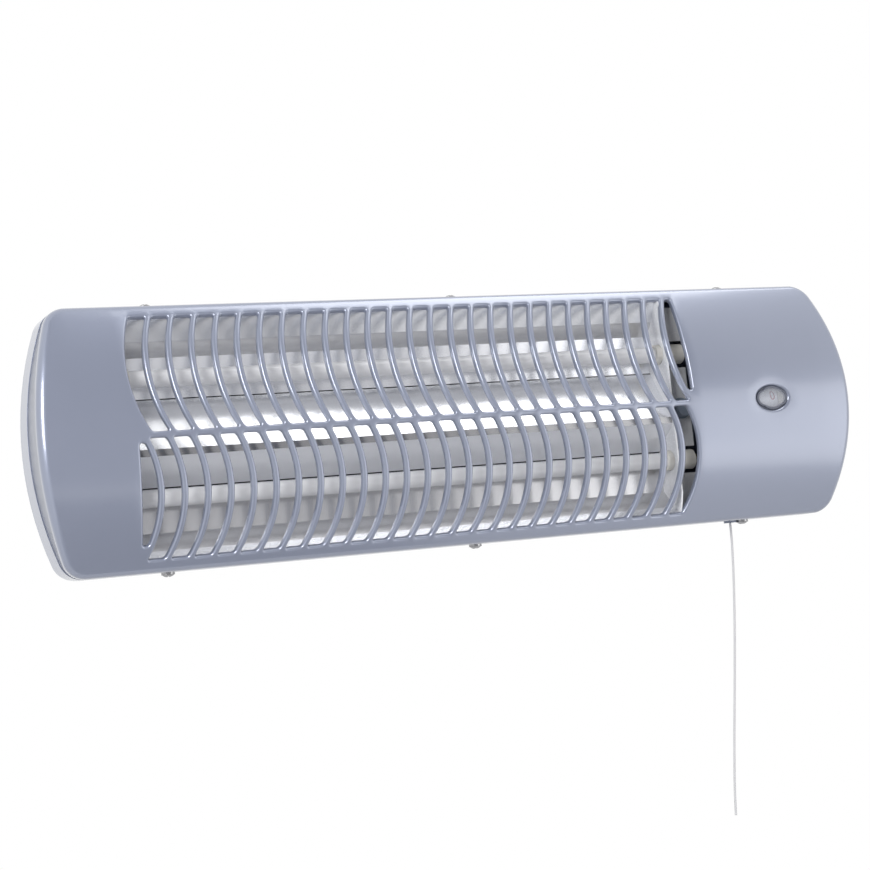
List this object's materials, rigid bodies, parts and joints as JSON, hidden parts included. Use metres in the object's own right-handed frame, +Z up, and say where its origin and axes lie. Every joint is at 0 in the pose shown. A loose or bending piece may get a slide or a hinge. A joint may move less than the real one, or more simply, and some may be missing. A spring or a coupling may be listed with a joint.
{
  "type": "wall-mounted electric bar heater",
  "caption": "Wall heater with a curved silver-blue grille over two quartz bars, a pull-cord switch, an indicator window and a tilting wall bracket.",
  "frame": {"origin": "centre of the wall bracket's back face, on the wall, in the middle of its four wall holes", "axes": "+X along the heater, to the right for someone facing it; -Y from the wall into the room; +Z up"},
  "size_m": [0.53, 0.096, 0.3399],
  "materials": {
    "body_paint": "satin silver-blue stove enamel with a fine metallic grain",
    "bracket_paint": "satin silver-blue stove enamel",
    "polished_aluminium": "bright rolled sheet, slightly brushed along its length",
    "polished_steel": "bright polished sheet",
    "quartz": "milky quartz glass, satin outside",
    "coil_wire": "dull oxidised resistance wire",
    "ceramic": "unglazed white steatite",
    "plated_brass": "plain turned brass",
    "plated_steel": "bright zinc plate",
    "dark_plastic": "dark blue-grey moulding",
    "wire_sleeve": "braided glass-fibre sleeve",
    "pale_plastic": "off-white moulding",
    "black_rubber": "matt black",
    "clear_window": "clear moulded window",
    "bush_plastic": "moulded bush in the body's colour",
    "screw_chrome": "bright nickel plate",
    "knob_plastic": "fine-textured black moulding",
    "drum_plastic": "white drum with a printed figure",
    "spring_steel": "oiled spring wire",
    "cord_fibre": "fine braided polyester cord"
  },
  "bodies": {
    "wall_bracket": {"wall_bracket": "bracket_paint"},
    "heater": {"front_cover": "body_paint", "rear_shell": "body_paint", "reflector": "polished_aluminium", "end_bracket_left": "polished_steel", "end_bracket_right": "polished_steel", "quartz_tube_upper": "quartz", "quartz_tube_lower": "quartz", "coil_upper": "coil_wire", "coil_lower": "coil_wire", "ceramic_caps": "ceramic", "tube_terminals": "plated_brass", "link_strap": "plated_steel", "thermal_cutout": "dark_plastic", "heater_wires": "wire_sleeve", "supply_wires": "wire_sleeve", "terminal_block": "pale_plastic", "mains_gland": "black_rubber", "switch_frame": "plated_steel", "switch_body": "pale_plastic", "window_bezel": "dark_plastic", "window_lens": "clear_window", "cord_bush": "bush_plastic", "cover_screws_top": "screw_chrome", "cover_screws_bottom": "screw_chrome", "inner_screws": "screw_chrome", "earth_screw": "plated_brass", "tilt_ear_left": "bracket_paint", "tilt_ear_right": "bracket_paint", "ear_rivets": "plated_steel", "friction_washers": "black_rubber", "pivot_bolts": "plated_steel", "return_spring": "spring_steel"},
    "knob_left": {"clamp_knob_left": "knob_plastic"},
    "knob_right": {"clamp_knob_right": "knob_plastic"},
    "indicator": {"indicator_drum": "drum_plastic", "ratchet_wheel": "plated_brass", "switch_shaft": "plated_steel"},
    "lever": {"pull_lever": "pale_plastic", "pawl": "plated_brass"},
    "cord": {"pull_link": "plated_steel", "cord_clip": "pale_plastic", "inner_cord": "cord_fibre", "pull_cord": "cord_fibre"}
  },
  "joints": [
    {"name": "tilt", "type": "hinge", "parent": "wall_bracket", "child": "heater", "pos_m": [0, -0.026, 0], "axis": [1, 0, 0], "range_deg": [0, 30]},
    {"name": "left_knob_turn", "type": "hinge", "parent": "heater", "child": "knob_left", "pos_m": [-0.1338, -0.026, 0], "axis": [-1, 0, 0], "continuous": true},
    {"name": "right_knob_turn", "type": "hinge", "parent": "heater", "child": "knob_right", "pos_m": [0.1338, -0.026, 0], "axis": [1, 0, 0], "continuous": true},
    {"name": "indicator_turn", "type": "hinge", "parent": "heater", "child": "indicator", "pos_m": [0.2045, -0.08, 0], "axis": [1, 0, 0], "continuous": true},
    {"name": "pull", "type": "slide", "parent": "heater", "child": "cord", "axis": [0, 0, -1], "range_m": [0, 0.009], "stiffness_N_per_m": 1000, "springref_m": -0.005, "deforming": ["return_spring"]},
    {"name": "lever_swing", "type": "hinge", "parent": "heater", "child": "lever", "pos_m": [0.184, -0.08, 0], "axis": [1, 0, 0], "range_deg": [-27, 0]}
  ],
  "couplings": [
    {"joint": "lever_swing", "follows": "pull", "rad_per_m": -51.5}
  ]
}
